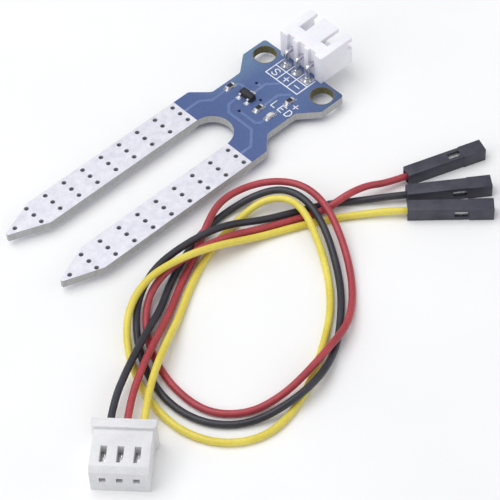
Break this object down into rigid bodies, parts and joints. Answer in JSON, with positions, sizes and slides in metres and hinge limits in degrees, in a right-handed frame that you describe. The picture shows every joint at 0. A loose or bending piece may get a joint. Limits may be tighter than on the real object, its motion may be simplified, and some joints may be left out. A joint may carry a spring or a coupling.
{
  "type": "soil moisture sensor",
  "caption": "Two-pronged circuit board that measures soil moisture between plated prongs, with a white header and a loose lead with a plug and single sockets.",
  "frame": {"origin": "bottom centre of the sensor's own box, without the lead, on the surface that its solder tails stand on", "axes": "+X from the prong tips to the header, +Y across the board, +Z out of the component side"},
  "size_m": [0.0903, 0.0606, 0.0084],
  "materials": {
    "board_laminate": "matte glass-fibre laminate",
    "blue_mask": "semi-gloss blue solder mask",
    "tinned_electrode": "satin tin plating",
    "plated_barrel": "tin plating",
    "copper": "copper foil under the mask",
    "solder": "bright solder",
    "white_ink": "matte printed ink",
    "white_nylon": "milky white nylon",
    "tinned_pin": "bright tin plating",
    "black_ceramic": "black glazed chip",
    "black_epoxy": "matte moulded epoxy",
    "led_base_plastic": "white chip base",
    "clear_resin": "clear resin",
    "black_insulation": "satin PVC",
    "red_insulation": "satin PVC",
    "yellow_insulation": "satin PVC",
    "black_socket_plastic": "matte moulded plastic",
    "contact_metal": "tinned spring metal"
  },
  "bodies": {
    "sensor": {"chip_solder": "solder", "component_pads": "solder", "copper_traces_top": "copper", "electrode_left_bottom": "tinned_electrode", "electrode_left_top": "tinned_electrode", "electrode_right_bottom": "tinned_electrode", "electrode_right_top": "tinned_electrode", "header_housing": "white_nylon", "header_pads_bottom": "solder", "header_pads_top": "solder", "header_pin_ground": "tinned_pin", "header_pin_power": "tinned_pin", "header_pin_signal": "tinned_pin", "header_solder_bottom": "solder", "header_solder_top": "solder", "led_base": "led_base_plastic", "led_lens": "clear_resin", "led_terminals": "tinned_pin", "legend_ink": "white_ink", "pcb_core": "board_laminate", "resistor_base_body": "black_ceramic", "resistor_base_terminals": "tinned_pin", "resistor_led_body": "black_ceramic", "resistor_led_terminals": "tinned_pin", "resistor_signal_body": "black_ceramic", "resistor_signal_terminals": "tinned_pin", "signal_vias": "plated_barrel", "solder_mask_bottom": "blue_mask", "solder_mask_top": "blue_mask", "transistor_body": "black_epoxy", "transistor_leads": "tinned_pin", "via_barrels_left": "plated_barrel", "via_barrels_right": "plated_barrel"},
    "lead": {"plug_contact_black": "contact_metal", "plug_contact_red": "contact_metal", "plug_contact_yellow": "contact_metal", "plug_housing": "white_nylon", "socket_contact_black": "contact_metal", "socket_contact_red": "contact_metal", "socket_contact_yellow": "contact_metal", "socket_housing_black": "black_socket_plastic", "socket_housing_red": "black_socket_plastic", "socket_housing_yellow": "black_socket_plastic", "wire_black": "black_insulation", "wire_red": "red_insulation", "wire_yellow": "yellow_insulation"}
  },
  "joints": [
    {"name": "lead_lift", "type": "slide", "parent": "sensor", "child": "lead", "axis": [0, 0, 1], "range_m": [0, 0.03]}
  ]
}
